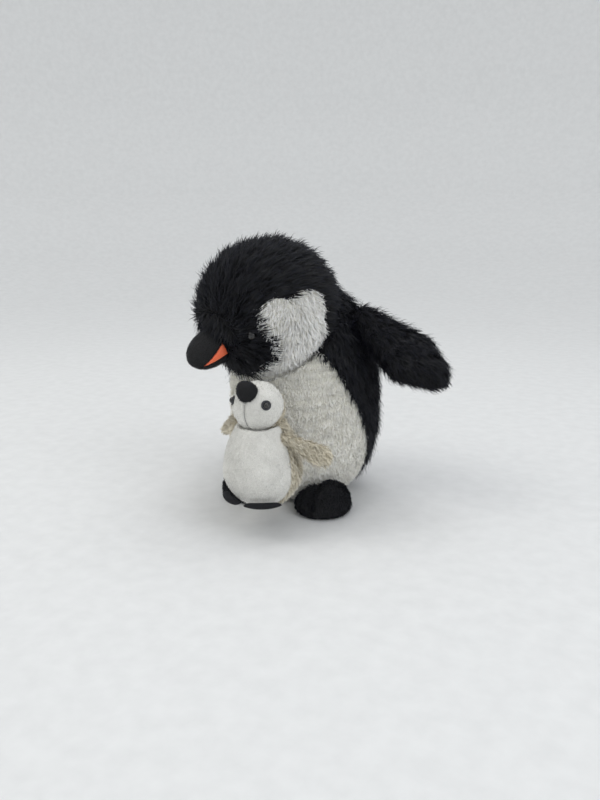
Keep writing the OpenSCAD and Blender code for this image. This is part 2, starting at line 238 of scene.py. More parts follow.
# %% [markdown]
# ## Satin, thread and beads
#
# The underside of the chick's flippers is satin: long floats of thread that shine across the
# weave, so its bump is a fine wave. The eyes are moulded acrylic beads polished to a mirror
# gloss, with the faintest dulling where fingers touch them.

# %% Satin, thread, beads
satin, tree = blank_material("woven_satin_pale_lilac")
place = add(tree, "ShaderNodeTexCoord").outputs["Object"]
weave = add(tree, "ShaderNodeTexWave", {"Vector": place, "Scale": 420.0, "Distortion": 1.5, "Detail": 2.0})
folds = add(tree, "ShaderNodeTexNoise", {"Vector": place, "Scale": 140.0, "Detail": 2.0})
sheen_colour = ramp(tree, folds.outputs["Fac"], [(0.3, "#cfcbda"), (0.7, "#eeebf4")])
relief = add(tree, "ShaderNodeBump", {"Height": weave.outputs["Fac"], "Strength": 0.35,
                                      "Distance": 0.15 * MM})
glow = add(tree, "ShaderNodeBsdfPrincipled", {
    "Base Color": sheen_colour, "Roughness": 0.38, "Normal": relief.outputs[0], "Sheen Weight": 0.3,
    "Sheen Tint": linear("#f4f0ff"), "IOR": 1.5})
add(tree, "ShaderNodeOutputMaterial", {"Surface": glow.outputs[0]})

bead, tree = blank_material("moulded_acrylic_bead_black")
place = add(tree, "ShaderNodeTexCoord").outputs["Object"]
touch = add(tree, "ShaderNodeTexNoise", {"Vector": place, "Scale": 300.0, "Detail": 4.0})
dull = add(tree, "ShaderNodeMapRange", {"Value": touch.outputs["Fac"], "To Min": 0.03, "To Max": 0.16})
depth = ramp(tree, touch.outputs["Fac"], [(0.3, "#020203"), (0.8, "#0b0b0d")])
gloss = add(tree, "ShaderNodeBsdfPrincipled", {
    "Base Color": depth, "Roughness": dull.outputs[0], "IOR": 1.49, "Coat Weight": 0.6,
    "Coat Roughness": 0.03})
add(tree, "ShaderNodeOutputMaterial", {"Surface": gloss.outputs[0]})

thread = cloth_material("spun_polyester_thread_white", "#bdbcb6", "#dddcd6", 0.5, 0.1, 0.7, 0.3, "#ffffff")
seam_thread = cloth_material("spun_polyester_thread_grey", "#77767a", "#96959a", 0.5, 0.1, 0.7, 0.2,
                             "#ffffff")
print("satin, bead and thread ready")

# %% [markdown]
# ## From a CAD solid to a stuffed form
#
# A sewn cover with filling is one closed, rounded form. The cover's and the filling's CAD nodes
# are copied together, remeshed into even squares, and blown up a little as cloth under pressure,
# which is how filling pushes fabric between its seams. A cap keeps each point within a few
# millimetres of the pattern, and the points in a joint's seat are pinned so that they don't swell.


# %% Copies and remeshes
def link(name, data):
    piece = bpy.data.objects.new(name, data)
    bpy.context.scene.collection.objects.link(piece)
    return piece


def applied(piece):
    graph = bpy.context.evaluated_depsgraph_get()
    mesh = bpy.data.meshes.new_from_object(piece.evaluated_get(graph), depsgraph=graph)
    piece.modifiers.clear()
    piece.data = mesh
    return piece


def dress(piece, name, fabric):
    piece.name = piece.data.name = name
    piece.data.materials.clear()
    piece.data.materials.append(fabric)


def points_of(mesh):
    co = np.zeros(len(mesh.vertices) * 3)
    mesh.vertices.foreach_get("co", co)
    return co.reshape(-1, 3)


def normals_of(mesh):
    no = np.zeros(len(mesh.vertices) * 3)
    mesh.vertices.foreach_get("normal", no)
    return no.reshape(-1, 3)


def move_points(mesh, co):
    mesh.vertices.foreach_set("co", np.ascontiguousarray(co, dtype=np.float64).ravel())
    mesh.update()


def stuffed(name, nodes, voxel_mm, smooth=4, fabric=None):
    whole = bmesh.new()
    for node in nodes:
        single = bmesh.new()
        single.from_mesh(frame["nodes"][node].data)
        bmesh.ops.remove_doubles(single, verts=single.verts, dist=1e-6)
        part = bpy.data.meshes.new(node + "_copy")
        single.to_mesh(part)
        single.free()
        whole.from_mesh(part)
        bpy.data.meshes.remove(part)
    mesh = bpy.data.meshes.new(name)
    whole.to_mesh(mesh)
    whole.free()
    piece = link(name, mesh)
    remesh = piece.modifiers.new("Remesh", "REMESH")
    remesh.mode = "VOXEL"
    remesh.voxel_size = voxel_mm * MM
    remesh.use_smooth_shade = True
    soften = piece.modifiers.new("Soften", "SMOOTH")
    soften.factor, soften.iterations = 0.5, smooth
    applied(piece)
    if fabric:
        piece.data.materials.append(fabric)
    print(name, len(piece.data.vertices), "points")
    return piece


torso = stuffed("torso_form", ["back_cover", "belly_panel", "base_panel", "body_stuffing", "pellet_bag",
                               "tail"], 4.5)
head = stuffed("head_form", ["hood", "left_throat_patch", "right_throat_patch", "head_stuffing"], 4.0)
left_wing = stuffed("left_wing_form", ["left_wing_cover", "left_wing_stuffing"], 3.0)
right_wing = stuffed("right_wing_form", ["right_wing_cover", "right_wing_stuffing"], 3.0)
left_foot = stuffed("left_foot_form", ["left_foot_cover", "left_foot_stuffing"], 2.6)
right_foot = stuffed("right_foot_form", ["right_foot_cover", "right_foot_stuffing"], 2.6)
chick = stuffed("chick_form", ["chick_front_panel", "chick_back_cover", "chick_base", "chick_stuffing"], 2.2)
chick_head = stuffed("chick_head_form", ["chick_face_left", "chick_face_right", "chick_head_back",
                                         "chick_head_stuffing"], 1.7)


# %% [markdown]
# ## Filling under pressure
#
# All the stuffed forms are simulated together, in the same 20 frames. Gravity is off, because
# the pattern already has the sagged shape. The head keeps its pattern's round shape, because its
# filling is packed hard.


# %% Blow up the forms
def near(co, centre, radius):
    return np.linalg.norm(co - np.array(centre), axis=1) < radius


NECK_SEAT, SHOULDER_SEAT, CHICK_NECK_SEAT, FLIPPER_SEAT = 0.075, 0.019, 0.028, 0.009
ON_FLOOR = 0.004
FRAMES = 20
seats = {
    torso: [(head_centre, NECK_SEAT), (left_shoulder, SHOULDER_SEAT), (right_shoulder, SHOULDER_SEAT)],
    left_wing: [(left_shoulder, SHOULDER_SEAT)],
    right_wing: [(right_shoulder, SHOULDER_SEAT)],
    chick: [(chick_head_centre, CHICK_NECK_SEAT)] + [
        (Vector(joints[f"chick_{side}_wing_lift"]["pos_m"]), FLIPPER_SEAT) for side in ("left", "right")],
    left_foot: [], right_foot: [],
}
caps_mm = {torso: 4.0, left_wing: 4.5, right_wing: 4.5, left_foot: 2.0, right_foot: 2.0, chick: 1.6}

start = {}
for form, cups in seats.items():
    start[form] = points_of(form.data)
    held = np.zeros(len(start[form]), bool)
    for centre, radius in cups:
        held |= near(start[form], centre, radius)
    held |= start[form][:, 2] < ON_FLOOR
    pins = form.vertex_groups.new(name="pins")
    pins.add([int(i) for i in np.nonzero(held)[0]], 1.0, "REPLACE")
    cloth = form.modifiers.new("Cloth", "CLOTH")
    cloth.settings.vertex_group_mass = "pins"
    cloth.settings.quality = 5
    cloth.settings.mass = 0.3
    cloth.settings.use_pressure = True
    cloth.settings.uniform_pressure_force = 4
    cloth.settings.effector_weights.gravity = 0
    cloth.settings.tension_stiffness = 12
    cloth.settings.bending_stiffness = 0.6
    cloth.point_cache.frame_start, cloth.point_cache.frame_end = 1, FRAMES
for step in range(1, FRAMES + 1):
    bpy.context.scene.frame_set(step)
for form in seats:
    applied(form)
    form.vertex_groups.clear()
    swell = points_of(form.data) - start[form]
    reach = np.linalg.norm(swell, axis=1, keepdims=True)
    cap = caps_mm[form] * MM
    move_points(form.data, start[form] + swell * np.minimum(1, cap / np.maximum(reach, 1e-9)))
    print(form.name, "swelled by", round(float(reach.max()) * 1000, 1), "mm, capped at", caps_mm[form])
bpy.context.scene.frame_set(1)


# %% [markdown]
# ## Sculpting the forms
#
# One subdivision gives enough points for creases. The mother's crown and nape stand fuller than
# her pattern, because her fur is thickest there. Her belly plush has fine ripples across it and
# one soft fold down its front, which come from fabric that is a little wider than its filling.


# %% Subdivide, then push points along their normals
def finer(piece):
    subdivision = piece.modifiers.new("Finer", "SUBSURF")
    subdivision.levels = subdivision.render_levels = 1
    applied(piece)
    piece.data.shade_smooth()


def soft_step(value, low, high):
    t = np.clip((value - low) / (high - low), 0, 1)
    return t * t * (3 - 2 * t)


for form in (torso, head, left_wing, right_wing, left_foot, right_foot, chick, chick_head):
    finer(form)

CROWN, BROW, OVER_BEAK = 0.0042, 0.001, 0.006
co, no = points_of(head.data), normals_of(head.data)
back_up = np.array((0.4, 0.8, 0.35))
back_up /= np.linalg.norm(back_up)
rise = soft_step((co - np.array(head_centre)) @ back_up / HEAD_R, 0.0, 0.9)
brow = soft_step(co[:, 2] - head_centre.z, 0.0, 0.05) * BROW
forward = (beak_root - head_centre).normalized()
over_beak = soft_step((co - np.array(head_centre)) @ np.array(forward) / HEAD_R, 0.45, 0.85) * brow / BROW
move_points(head.data, co + no * (rise * CROWN + brow + over_beak * OVER_BEAK)[:, None])

STOUT, RIPPLE, NUB, FOLD, RIPPLE_PITCH = 0.003, 0.0006, 0.0005, 0.0035, 0.0095
co, no = points_of(torso.data), normals_of(torso.data)
angle = np.arctan2(co[:, 0] - torso_middle.x, -(co[:, 1] - torso_middle.y))
front = soft_step(np.cos(angle), 0.1, 0.7) * soft_step(co[:, 2], 0.02, 0.05)
clear = 1 - soft_step(co[:, 2], 0.14, 0.17)
stout = soft_step(np.sin(angle), 0.6, 1.0) * soft_step(co[:, 2], 0.03, 0.08) * clear * STOUT
ripple = np.sin(co[:, 2] / RIPPLE_PITCH * 2 * math.pi + 2.2 * np.sin(angle * 3.1)
                + 1.3 * np.sin(co[:, 2] * 90))
nubs = (np.sin(co[:, 0] * 1150 + 2 * np.sin(co[:, 2] * 300))
        * np.sin(co[:, 2] * 1050 + 2 * np.sin(co[:, 0] * 260)))
fold = np.exp(-((angle + 0.10 + 0.15 * np.sin(co[:, 2] * 40)) / 0.10) ** 2) * soft_step(co[:, 2], 0.05, 0.09)
move_points(torso.data, co + no * (front * (RIPPLE * ripple + NUB * nubs - FOLD * fold) + stout)[:, None])
print("sculpted head and belly")

# %% [markdown]
# ## Cutting a form into its panels
#
# Each form is now parted where its fabrics change, as a pattern cutter would. Every face goes to
# the cover node that it lies closest to, and the cut edge is relaxed so that it runs smoothly.
# The numbers after `owner` are places in the list of nodes. The backing's thickness comes later.


# %% Nearest cover decides the panel
def surface_tree(mesh):
    return BVHTree.FromPolygons([v.co for v in mesh.vertices], [p.vertices for p in mesh.polygons])


def panel_index(form, nodes):
    trees = []
    for node in nodes:
        trees.append(surface_tree(frame["nodes"][node].data))
    owner = []
    for polygon in form.data.polygons:
        distances = [t.find_nearest(polygon.center)[3] for t in trees]
        owner.append(min(range(len(nodes)), key=lambda i: distances[i]))
    return owner


def panel(form, owner, wanted, name, material):
    shell = bmesh.new()
    shell.from_mesh(form.data)
    shell.faces.ensure_lookup_table()
    spare = [face for face in shell.faces if owner[face.index] not in wanted]
    bmesh.ops.delete(shell, geom=spare, context="FACES")
    for _ in range(12):
        rim = {v: [e.other_vert(v).co for e in v.link_edges if e.is_boundary] for v in shell.verts
               if any(e.is_boundary for e in v.link_edges)}
        for vert, others in rim.items():
            if len(others) == 2:
                vert.co = vert.co * 0.4 + (others[0] + others[1]) * 0.3
    mesh = bpy.data.meshes.new(name)
    shell.to_mesh(mesh)
    shell.free()
    mesh.materials.clear()
    mesh.materials.append(material)
    mesh.shade_smooth()
    return link(name, mesh)


owner = panel_index(torso, ["back_cover", "belly_panel", "base_panel", "tail"])
back_cover = panel(torso, owner, {0, 3}, "back_cover_fur_backing", fur_backing)
belly_panel = panel(torso, owner, {1}, "belly_panel_plush_backing", white_backing)
base_panel = panel(torso, owner, {2}, "base_panel_cotton", black_cloth)
owner = panel_index(head, ["hood", "left_throat_patch", "right_throat_patch"])
hood = panel(head, owner, {0}, "hood_fur_backing", fur_backing)
throat_left = panel(head, owner, {1}, "left_throat_patch_backing", white_backing)
throat_right = panel(head, owner, {2}, "right_throat_patch_backing", white_backing)
owner = panel_index(chick, ["chick_front_panel", "chick_back_cover", "chick_base"])
chick_front = panel(chick, owner, {0, 2}, "chick_front_panel_velboa", white_velboa)
chick_back = panel(chick, owner, {1}, "chick_back_cover_backing", beige_backing)
owner = panel_index(chick_head, ["chick_face_left", "chick_face_right", "chick_head_back"])
chick_face = panel(chick_head, owner, {0, 1}, "chick_face_velboa", white_velboa)
chick_crown = panel(chick_head, owner, {2}, "chick_head_back_backing", beige_backing)
for form in (torso, head, chick, chick_head):
    bpy.data.objects.remove(form)
print("panels cut")

# %% [markdown]
# ## The tuft
#
# Pile is planted, not painted. One tuft is a bent, tapering lock of three faces that is one unit
# long. The node tree below plants thousands of them and scales each one.


# %% One lock of fibre
def lock_mesh(name, bend, rows=(0.0, 0.38, 0.72)):
    verts, along, faces = [], [], []
    for t in rows:
        width = 0.5 * (1 - t) ** 0.6 * (0.75 + 0.5 * math.sin(math.pi * min(1, t + 0.25)))
        for side in (-1, 1):
            verts.append((bend * t * t, side * width, t))
            along.append(t)
    verts.append((bend, 0, 1 - bend * 0.3))
    along.append(1)
    for row in range(len(rows) - 1):
        a = row * 2
        faces.append((a, a + 1, a + 3, a + 2))
    last = (len(rows) - 1) * 2
    faces.append((last, last + 1, last + 2))
    mesh = bpy.data.meshes.new(name)
    mesh.from_pydata(verts, [], faces)
    mesh.attributes.new("along", "FLOAT", "POINT").data.foreach_set("value", along)
    mesh.shade_smooth()
    return link(name, mesh)


fur_lock = lock_mesh("lock_long", 0.45)
nub_lock = lock_mesh("lock_curled", 0.75)

# %% [markdown]
# ## The node tree that plants pile
#
# `Distribute Points on Faces` spaces the roots evenly. Each lock leans from the fabric's normal
# towards the combed direction, which is stored on the backing as `lay`. A slow noise turns
# neighbouring locks the same way, so that they mat together as real fur does, and a random
# vector parts them again. `reach` scales the length from place to place, and `cover` thins the pile.


# %% Build the tree
def named_inputs(tree, rows):
    ids = {}
    for label, kind, value in rows:
        made = tree.interface.new_socket(label, in_out="INPUT", socket_type="NodeSocket" + kind)
        ids[label] = made.identifier
        if value is not None:
            made.default_value = value
    tree.interface.new_socket("Geometry", in_out="OUTPUT", socket_type="NodeSocketGeometry")
    return ids


plant = bpy.data.node_groups.new("Plant pile", "GeometryNodeTree")
socket_id = named_inputs(plant, [
    ("Geometry", "Geometry", None), ("Lock", "Object", None), ("Fabric", "Material", None),
    ("Spacing", "Float", 0.002), ("Length", "Float", 0.01), ("Width", "Float", 0.002), ("Lean", "Float", 0.6),
    ("Matting", "Float", 0.6), ("Parting", "Float", 0.4), ("Mat size", "Float", 0.012), ("Seed", "Int", 1)])
given = add(plant, "NodeGroupInput").outputs


def stored(name, kind):
    return add(plant, "GeometryNodeInputNamedAttribute", {"Name": name}, data_type=kind).outputs["Attribute"]


def vector_math(operation, a, b):
    second = "Scale" if operation == "SCALE" else 1
    return add(plant, "ShaderNodeVectorMath", {0: a, second: b}, operation=operation).outputs[0]


def number(operation, a, b):
    return add(plant, "ShaderNodeMath", {0: a, 1: b}, operation=operation).outputs[0]


roots = add(plant, "GeometryNodeDistributePointsOnFaces", {
    "Mesh": given["Geometry"], "Distance Min": given["Spacing"], "Density Max": 4e6,
    "Density Factor": stored("cover", "FLOAT"), "Seed": given["Seed"]}, distribute_method="POISSON")
upright = number("SUBTRACT", 1.0, given["Lean"])
rate = number("DIVIDE", 1.0, given["Mat size"])
waves = add(plant, "ShaderNodeTexNoise", {
    "Vector": add(plant, "GeometryNodeInputPosition").outputs[0], "Scale": rate, "Detail": 2.0})
mat = vector_math("SCALE", vector_math("SUBTRACT", waves.outputs["Color"], (0.5, 0.5, 0.5)), given["Matting"])
chance = add(plant, "FunctionNodeRandomValue", {0: (-1, -1, -1), 1: (1, 1, 1), "Seed": given["Seed"]},
             data_type="FLOAT_VECTOR").outputs[0]
part = vector_math("SCALE", chance, given["Parting"])
combed = vector_math("ADD", vector_math("SCALE", roots.outputs["Normal"], upright),
                     vector_math("SCALE", stored("lay", "FLOAT_VECTOR"), given["Lean"]))
heading = vector_math("NORMALIZE", vector_math("ADD", combed, vector_math("ADD", mat, part)), (0, 0, 0))
turned = add(plant, "FunctionNodeAxesToRotation", {0: heading, 1: stored("lay", "FLOAT_VECTOR")},
             primary_axis="Z", secondary_axis="X")
vary = add(plant, "FunctionNodeRandomValue", {2: 0.65, 3: 1.2, "Seed": given["Seed"]}, data_type="FLOAT")
long = number("MULTIPLY", number("MULTIPLY", given["Length"], stored("reach", "FLOAT")), vary.outputs[1])
wide = number("MULTIPLY", given["Width"], vary.outputs[1])
size = add(plant, "ShaderNodeCombineXYZ", {0: long, 1: wide, 2: long})
shape = add(plant, "GeometryNodeObjectInfo", {"Object": given["Lock"]})
planted = add(plant, "GeometryNodeInstanceOnPoints", {
    "Points": roots.outputs["Points"], "Instance": shape.outputs["Geometry"],
    "Rotation": turned.outputs[0], "Scale": size.outputs[0]})
shade = add(plant, "FunctionNodeRandomValue", {2: 0.0, 3: 1.0, "Seed": 7}, data_type="FLOAT")
toned = add(plant, "GeometryNodeStoreNamedAttribute", {
    "Geometry": planted.outputs[0], "Name": "tone", "Value": shade.outputs[1]},
    data_type="FLOAT", domain="INSTANCE")
real = add(plant, "GeometryNodeRealizeInstances", {"Geometry": toned.outputs[0]})
dressed = add(plant, "GeometryNodeSetMaterial", {"Geometry": real.outputs[0], "Material": given["Fabric"]})
add(plant, "NodeGroupOutput", {"Geometry": dressed.outputs[0]})
print(len(plant.nodes), "nodes plant the pile")


# %% [markdown]
# ## Combing
#
# A combed direction is laid flat on the fabric at every point, so that the locks follow the form.
# The pile's sizes are given in millimetres, as a plush maker does.


# %% Comb a backing, plant its pile
def comb(piece, direction, reach=None, cover=None):
    mesh = piece.data
    co, no = points_of(mesh), normals_of(mesh)
    way = np.broadcast_to(np.asarray(direction(co) if callable(direction) else direction, float), co.shape)
    flat = way - no * (way * no).sum(1, keepdims=True)
    flat /= np.maximum(np.linalg.norm(flat, axis=1, keepdims=True), 1e-6)
    mesh.attributes.new("lay", "FLOAT_VECTOR", "POINT").data.foreach_set("vector", flat.ravel())
    for name, field in (("reach", reach), ("cover", cover)):
        values = np.ones(len(co)) if field is None else np.broadcast_to(field(co), len(co)).astype(float)
        mesh.attributes.new(name, "FLOAT", "POINT").data.foreach_set("value", values)


IN_MM = ("Spacing", "Length", "Width", "Mat_size")


def pile(backing, name, fabric, lock, **sizes):
    piece = link(name, backing.data.copy())
    piece.data.materials.clear()
    growth = piece.modifiers.new("Plant pile", "NODES")
    growth.node_group = plant
    growth[socket_id["Lock"]] = lock
    growth[socket_id["Fabric"]] = fabric
    for label, value in sizes.items():
        growth[socket_id[label.replace("_", " ")]] = value * MM if label in IN_MM else value
    applied(piece)
    piece.data.name = name
    co = points_of(piece.data)
    co[:, 2] = np.maximum(co[:, 2], 0.0003)
    move_points(piece.data, co)
    print(name, len(piece.data.polygons), "faces")
    return piece


def ride_all(body, slot_name, *pieces):
    for piece in pieces:
        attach(piece, body)


# %% [markdown]
# ## The mother's long fur
#
# Her fur is 8 to 14 mm long, and leans over in matted locks. It is combed back from the beak over
# the crown, except that the locks just above the beak fall over its root, and it is short beside
# the beak. Nothing is planted under the beak itself.


# %% Head, neck and back fur
def from_beak(co):
    away = co - np.array(beak_root)
    away /= np.maximum(np.linalg.norm(away, axis=1, keepdims=True), 1e-6)
    behind = soft_step(away @ np.array((0.2, 0.9, 0.3)), -0.2, 0.8)
    back = away + np.array((0.0, 0.1, -0.45)) * behind[:, None]
    gap = np.linalg.norm(co - np.array(beak_root), axis=1)
    brow_lock = (1 - soft_step(gap, 0.024, 0.04)) * soft_step(co[:, 2] - beak_root.z, -0.002, 0.012)
    fall = np.array(beak_axis) + np.array((0.0, 0.0, -0.3))
    return back * (1 - brow_lock)[:, None] + fall * brow_lock[:, None] * 1.5


def beak_short(co):
    d = np.linalg.norm(co - np.array(beak_root), axis=1)
    low = 0.6 + 0.4 * soft_step(d, 0.018, 0.04)
    return low + (1.1 - low) * soft_step(co[:, 2] - beak_root.z, 0.0, 0.012)


def clear_of_beak(co):
    d = np.linalg.norm(co - np.array(middle("upper_beak", "lower_beak")), axis=1)
    return soft_step(d, 0.010, 0.013)


comb(hood, from_beak, beak_short, clear_of_beak)
hood_fur = pile(hood, "hood_fur", black_fur, fur_lock, Spacing=1.12, Length=12.0, Width=1.15, Lean=0.5,
                Matting=2.1, Parting=0.3, Mat_size=7, Seed=11)

comb(back_cover, lambda co: np.stack([co[:, 0] * 1.5, (co[:, 1] - 0.02) * 1.5, np.full(len(co), -0.2)], 1))
back_fur = pile(back_cover, "back_fur", black_fur, fur_lock, Spacing=1.2, Length=12.0, Width=1.2, Lean=0.52,
                Matting=2.0, Parting=0.3, Mat_size=7, Seed=12)

neck_form = stuffed("neck_form", ["neck_skin"], 2.0, smooth=2)
owner = panel_index(neck_form, ["back_cover", "belly_panel"])
neck = panel(neck_form, owner, {0}, "neck_skin_fur_backing", fur_backing)
neck_front = panel(neck_form, owner, {1}, "neck_skin_white_backing", white_backing)
bpy.data.objects.remove(neck_form)


def outside(co):
    return (np.linalg.norm(co - np.array(head_centre), axis=1) > HEAD_R + 0.004) * 1.0


comb(neck, (0.0, 0.3, -1.0), None, outside)
neck_fur = pile(neck, "neck_fur", black_fur, fur_lock, Spacing=1.5, Length=9.0, Width=1.3, Lean=0.6,
                Matting=1.8, Parting=0.3, Mat_size=7, Seed=13)
comb(neck_front, (0.0, -0.3, -1.0), None, outside)
neck_front_fluff = pile(neck_front, "neck_front_fluff", white_fur, fur_lock, Spacing=1.1, Length=6.0,
                        Width=1.2, Lean=0.35, Matting=2.0, Parting=0.5, Mat_size=6, Seed=14)

# %% [markdown]
# ## Wings
#
# The wings are soft leaves in the same fur, combed to their tips. They have no hinge in the real
# toy: the fabric bends at the shoulder.


# %% Wing fur
def toward(tip, root):
    way = np.array(tip - root)
    return lambda co: np.broadcast_to(way / np.linalg.norm(way) + np.array((0, 0, -0.25)), co.shape)


wing_pieces = {}
for side, form, tip, root in (("left", left_wing, left_tip, left_shoulder),
                              ("right", right_wing, right_tip, right_shoulder)):
    dress(form, side + "_wing_fur_backing", fur_backing)
    comb(form, toward(tip, root))
    fur = pile(form, side + "_wing_fur", black_fur, fur_lock, Spacing=1.05, Length=11.0, Width=1.15,
               Lean=0.48, Matting=2.1, Parting=0.3, Mat_size=7, Seed=21)
    wing_pieces[side] = (form, fur)

# %% [markdown]
# ## White plush
#
# The throat patch is fluffy, 4 to 8 mm long, and the belly is sheared to about 3 mm. Sheared plush
# curls into nubs, so it uses the curled lock.

# %% Throat and belly
def flare(centre):
    def way(co):
        out = co - np.array(centre)
        out /= np.maximum(np.linalg.norm(out, axis=1, keepdims=True), 1e-6)
        return out * 0.6 + np.array((0, 0, -0.8))
    return way


throat_fur = []
for side, patch, seed in (("left", throat_left, 31), ("right", throat_right, 32)):
    comb(patch, flare(middle(side + "_throat_patch")))
    throat_fur.append(pile(patch, side + "_throat_patch_fluff", white_fur, fur_lock, Spacing=0.95, Length=6.5,
                           Width=1.2, Lean=0.35, Matting=2.0, Parting=0.55, Mat_size=6, Seed=seed))
comb(belly_panel, (0.0, -0.1, -1.0))
belly_pile = pile(belly_panel, "belly_panel_plush", belly_plush, nub_lock, Spacing=0.95, Length=3.2,
                  Width=1.5, Lean=0.25, Matting=2.2, Parting=0.7, Mat_size=4, Seed=33)

# %% [markdown]
# ## Feet in short plush
#
# The feet are round buns in short black plush with a crease that divides them into two toes.


# %% Feet
def two_toes(form, node):
    low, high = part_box(node)
    co, no = points_of(form.data), normals_of(form.data)
    across = (co[:, 0] - (low.x + high.x) / 2) / 0.004
    crease = np.exp(-across ** 2) * soft_step(-co[:, 1], -(low.y + 0.035), -(low.y + 0.012))
    crease *= soft_step(co[:, 2], 0.006, 0.014)
    move_points(form.data, co - no * (crease * 0.0035)[:, None])


feet = []
for side, form in (("left", left_foot), ("right", right_foot)):
    dress(form, side + "_foot_plush_backing", fur_backing)
    two_toes(form, side + "_foot_cover")
    comb(form, (0.0, -0.8, -0.7))
    nap = pile(form, side + "_foot_plush", black_plush, fur_lock, Spacing=1.0, Length=3.6, Width=1.2,
               Lean=0.4, Matting=1.2, Parting=0.35, Mat_size=6, Seed=41)
    feet.append((form, nap))

# %% [markdown]
# The beak is velour over firm filling, with a wedge of coral satin on each side of its mouth. It
# keeps its pattern's shape, so its pieces are only remeshed, smoothed and given a short nap.

# %% Beak
beak_pieces = []
for node, fabric, ending in (("upper_beak", black_velour, "_velour"), ("lower_beak", black_velour, "_velour"),
                             ("left_gape", coral_satin, "_satin"), ("right_gape", coral_satin, "_satin")):
    beak_pieces.append(stuffed(node + ending, [node], 1.1, smooth=5, fabric=fabric))
    finer(beak_pieces[-1])
comb(beak_pieces[0], from_beak)
comb(beak_pieces[1], from_beak)
beak_nap = [pile(piece, label, velour_nap, fur_lock, Spacing=0.8, Length=1.3, Width=0.6, Lean=0.35,
                 Matting=0.8, Parting=0.4, Mat_size=4, Seed=51)
            for piece, label in ((beak_pieces[0], "upper_beak_nap"), (beak_pieces[1], "lower_beak_nap"))]

# %% [markdown]
# ## The chick
#
# The chick's front and face are white velboa, a knit with a 1 mm pile, and its back is beige
# plush. Its face is sewn from two halves, so a seam runs down its middle from the beak to the
# neck: the fabric dips there by about a millimetre.

# %% Chick body and head
SEAM_HALF, SEAM_DIP = 0.0012, 0.0013
co, no = points_of(chick_face.data), normals_of(chick_face.data)
seam = np.exp(-((co[:, 0] - chick_head_centre.x) / SEAM_HALF) ** 2)
move_points(chick_face.data, co - no * (seam * SEAM_DIP)[:, None])

comb(chick_front, (0.0, -0.2, -1.0))
front_nap = pile(chick_front, "chick_front_panel_nap", velboa_nap, fur_lock, Spacing=0.85, Length=1.5,
                 Width=0.7, Lean=0.45, Matting=1.0, Parting=0.35, Mat_size=4, Seed=61)


def off_seam_and_beak(co):
    from_tip = np.linalg.norm(co - np.array(middle("chick_beak")), axis=1)
    from_seam = np.abs(co[:, 0] - chick_head_centre.x)
    return soft_step(from_tip, 0.008, 0.01) * (0.25 + 0.75 * soft_step(from_seam, 0.0004, SEAM_HALF))


comb(chick_face, lambda co: co - np.array(chick_head_centre) + np.array((0, 0.02, 0)), None,
     off_seam_and_beak)
face_nap = pile(chick_face, "chick_face_nap", velboa_nap, fur_lock, Spacing=0.8, Length=1.3, Width=0.65,
                Lean=0.4, Matting=1.0, Parting=0.35, Mat_size=4, Seed=62)
comb(chick_back, (0.0, 0.1, -1.0))
back_fluff = pile(chick_back, "chick_back_cover_fluff", beige_fluff, nub_lock, Spacing=0.95, Length=5.0,
                  Width=1.2, Lean=0.25, Matting=2.0, Parting=0.6, Mat_size=4, Seed=63)
comb(chick_crown, (0.0, 0.6, 0.6))
crown_fluff = pile(chick_crown, "chick_head_back_fluff", beige_fluff, fur_lock, Spacing=0.95, Length=5.0,
                   Width=1.3, Lean=0.35, Matting=1.4, Parting=0.4, Mat_size=5, Seed=64)
chick_neck = stuffed("chick_neck_velboa", ["chick_neck_skin"], 1.0, smooth=2, fabric=white_velboa)
comb(chick_neck, (0.0, 0.0, -1.0))
neck_nap = pile(chick_neck, "chick_neck_nap", velboa_nap, fur_lock, Spacing=0.8, Length=2.2, Width=0.7,
                Lean=0.3, Matting=1.0, Parting=0.5, Mat_size=4, Seed=65)

chick_beak = stuffed("chick_beak_velboa", ["chick_beak"], 0.9, fabric=black_velour)
finer(chick_beak)
comb(chick_beak, lambda co: co - np.array(chick_head_centre))
chick_beak_nap = pile(chick_beak, "chick_beak_nap", velour_nap, fur_lock, Spacing=0.75, Length=1.2,
                      Width=0.55, Lean=0.3, Matting=0.8, Parting=0.4, Mat_size=3, Seed=66)

# %% [markdown]
# The chick's feet are cut from felt, thick in the middle and thin at their ends, so each strip is
# slimmed along its arc. A flipper is beige plush on top and satin below: plush is planted only
# where the top isn't sewn to the satin.

# %% Chick feet and flippers
chick_feet = []
for side in ("left", "right"):
    felt = stuffed(f"chick_{side}_foot_felt", [f"chick_{side}_foot"], 1.0, smooth=2, fabric=navy_felt)
    finer(felt)
    co = points_of(felt.data)
    turn = np.arctan2(co[:, 0] - chick_middle.x, -(co[:, 1] - chick_middle.y))
    mid, half = (turn.max() + turn.min()) / 2, (turn.max() - turn.min()) / 2
    slim = np.sqrt(np.clip(1 - np.abs((turn - mid) / half) ** 2.2, 0.06, 1)) * 0.85
    height = (co[:, 2].max() + co[:, 2].min()) / 2
    co[:, 2] = height + (co[:, 2] - height) * slim
    move_points(felt.data, co)
    chick_feet.append(felt)
flippers = {}
for side in ("left", "right"):
    flipper = f"chick_{side}_flipper"
    top = stuffed(flipper + "_backing", [flipper], 1.2, smooth=8, fabric=beige_backing)
    lining = stuffed(flipper + "_satin", [flipper + "_lining"], 0.8, smooth=1, fabric=satin)
    finer(lining)
    sign = 1 if side == "left" else -1
    lining_tree = surface_tree(lining.data)
    comb(top, (sign * 0.8, -0.2, -0.5), None,
         lambda co: np.array([1.0 if lining_tree.find_nearest(Vector(c))[3] > 0.0012 else 0.0 for c in co]))
    fluff = pile(top, flipper + "_fluff", beige_fluff, nub_lock, Spacing=0.8, Length=4.4, Width=1.1, Lean=0.3,
                 Matting=1.9, Parting=0.6, Mat_size=4, Seed=67)
    flippers[side] = (top, lining, fluff)

